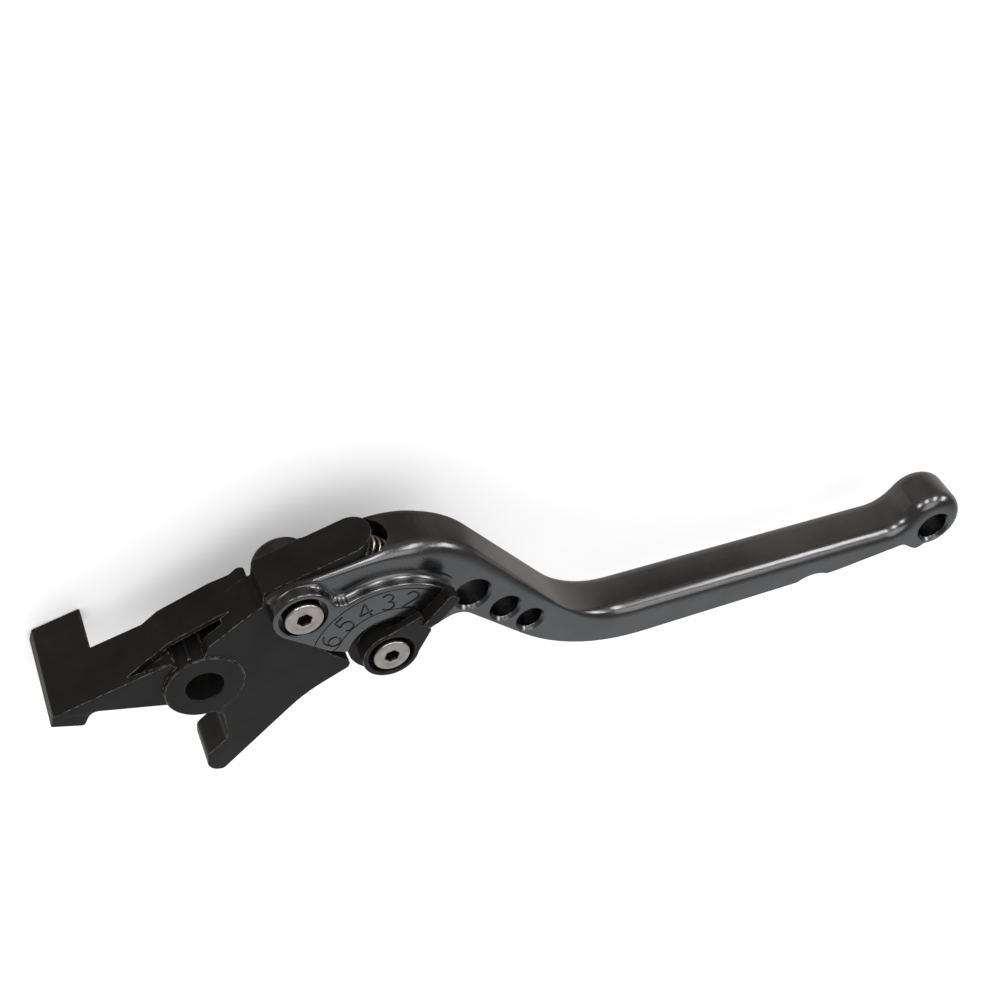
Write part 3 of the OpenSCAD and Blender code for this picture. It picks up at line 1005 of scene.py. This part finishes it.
def return_spring(material):
    turns = 5.5
    body = coil("return_spring_shape", SPRING_R, WIRE_R, turns, SPRING_LEN - 2 * FIT)
    moved(body, Matrix.Translation((0, 0, FIT * MM)))
    moved(body, spring_frame())
    finish_piece(body, material, "return_spring")
    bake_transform(body)


# ---- scene ----

def aim(obj, place, target, roll=0.0):
    """Stands a light or camera at place, looking at target."""
    way = (Vector(target) - Vector(place)).normalized()
    turn = way.to_track_quat("-Z", "Y").to_matrix().to_4x4()
    obj.matrix_world = Matrix.Translation(place) @ turn @ Matrix.Rotation(math.radians(roll), 4, "Z")


def direction(azimuth, elevation):
    """Unit vector from angles in degrees."""
    a, e = math.radians(azimuth), math.radians(elevation)
    return Vector((math.cos(e) * math.cos(a), math.cos(e) * math.sin(a), math.sin(e)))


def softbox(name, place, target, width, height, power):
    data = bpy.data.lights.new(name, "AREA")
    data.shape = "RECTANGLE"
    data.size = width
    data.size_y = height
    data.energy = power
    light = bpy.data.objects.new(name, data)
    bpy.context.scene.collection.objects.link(light)
    aim(light, place, target)
    return light


def floor():
    floor_z = (PAD_BOTTOM - 0.2) * MM
    size = 4.0
    corners = ((-size, -size), (size, -size), (size, size), (-size, size))
    mesh = bpy.data.meshes.new("floor")
    mesh.from_pydata([(x, y, floor_z) for x, y in corners], [], [(0, 1, 2, 3)])
    sheet = bpy.data.objects.new("floor", mesh)
    bpy.context.scene.collection.objects.link(sheet)
    s = Shader("floor_paper_and_painted_reflection", Roughness=0.9)
    seen = s.node("ShaderNodeLightPath").outputs["Is Glossy Ray"]
    paper = s.mix(s.noise(0.01, 2.0), (0.9, 0.9, 0.9), (0.93, 0.93, 0.93))
    # Painted reflection: glossy rays see the floor as brown patches towards +Y, fading to pale grey towards
    # -Y. The camera and diffuse rays see plain white paper.
    reflection_patches = s.ramp(s.noise(0.035, 2.0), 0.38, 0.62, 0, 1)
    across = s.node("ShaderNodeSeparateXYZ")
    s.link(s.place, across.inputs[0])
    paler_behind = s.ramp(across.outputs["Y"], -4 * MM, 14 * MM, 1, 0)
    painted_reflection = s.mix(paler_behind, s.mix(reflection_patches, (0.09, 0.075, 0.062), (0.24, 0.205, 0.18)), (0.5, 0.47, 0.45))
    s.feed("Base Color", s.mix(seen, paper, painted_reflection))
    s.surface.inputs["Emission Color"].default_value = (1, 1, 1, 1)
    s.feed("Emission Strength", s.ramp(seen, 0, 1, 0.14, 0))
    mesh.materials.append(s.material)


def room():
    """An even bright room, which polished metal sees as dark overhead and in front, and paler behind."""
    world = bpy.data.worlds.new("room")
    bpy.context.scene.world = world
    world.use_nodes = True
    n = Nodes(world.node_tree)
    background = n.tree.nodes["Background"]
    way = n.node("ShaderNodeSeparateXYZ")
    n.link(n.node("ShaderNodeTexCoord").outputs["Generated"], way.inputs[0])
    behind = n.ramp(way.outputs["Y"], -0.75, -0.05, 1, 0)
    reflected = n.mix(behind, (0.14, 0.135, 0.13), (0.6, 0.62, 0.63))
    seen = n.node("ShaderNodeLightPath").outputs["Is Glossy Ray"]
    n.link(n.mix(seen, (1.1, 1.1, 1.1), reflected), background.inputs["Color"])
    background.inputs["Strength"].default_value = 1.0


def lamps():
    """A row of small lamps in front, seen only as streaks and spots on polished edges, and one soft key."""
    middle = Vector((0.07, 0.0, 0.0))
    distance, elevation, width, height, power = 0.9, 19, 0.15, 0.4, 1.3
    for k, azimuth in enumerate((28, 58, 88, 118)):
        place = middle + direction(azimuth, elevation) * distance
        lamp = softbox(f"lamp_{k}", place, middle, width, height, power)
        lamp.visible_diffuse = False
    key_size, key_power = 0.7, 2
    softbox("key", (0.3, 0.5, 0.9), middle, key_size, key_size, key_power)


def camera():
    data = bpy.data.cameras.new("camera")
    data.sensor_width = 36.0
    data.lens = 60.354
    data.clip_start = 0.01
    obj = bpy.data.objects.new("camera", data)
    bpy.context.scene.collection.objects.link(obj)
    place = Vector((-26.18, 265.65, 229.26)) * MM
    azimuth, elevation, roll = -68.957, -41.730, 150.91
    aim(obj, place, place + direction(azimuth, elevation), roll)
    bpy.context.scene.camera = obj


def plain_nodes(steel, brass):
    """The pieces inside keep their CAD shape and take a turned-metal finish."""
    finishes = {"link_bush": brass, "cam_bush": steel, "detent_ball": steel, "detent_spring": steel}
    for node, material in finishes.items():
        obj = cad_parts[node]
        obj.data.materials.clear()
        obj.data.materials.append(material)


def build():
    grey, black, wire = grey_anodised(), black_anodised(), spring_steel()
    lever_body(grey)
    bracket(black)
    adjuster(black)
    screw("link_screw_shape", LINK, LINK_HEAD_R, LINK_HEAD_TOP, SHOULDER_R, -SLOT_HALF - 0.1,
          screw_steel("link_steel", LINK, LINK_HEAD_TOP), "link_screw")
    screw("adjuster_screw_shape", CAM, ADJUSTER_HEAD_R, ADJUSTER_HEAD_TOP, SHANK_R, 0.0,
          screw_steel("adjuster_steel", CAM, ADJUSTER_HEAD_TOP), "adjuster_screw")
    return_spring(wire)
    plain_nodes(turned_metal("turned_steel", (0.5, 0.5, 0.5), (0.66, 0.66, 0.65), CAM),
                turned_metal("turned_brass", (0.5, 0.34, 0.12), (0.66, 0.48, 0.2), LINK))


build()
floor()
room()
lamps()
camera()
bpy.context.scene.view_settings.view_transform = "Standard"
bpy.context.view_layer.update()
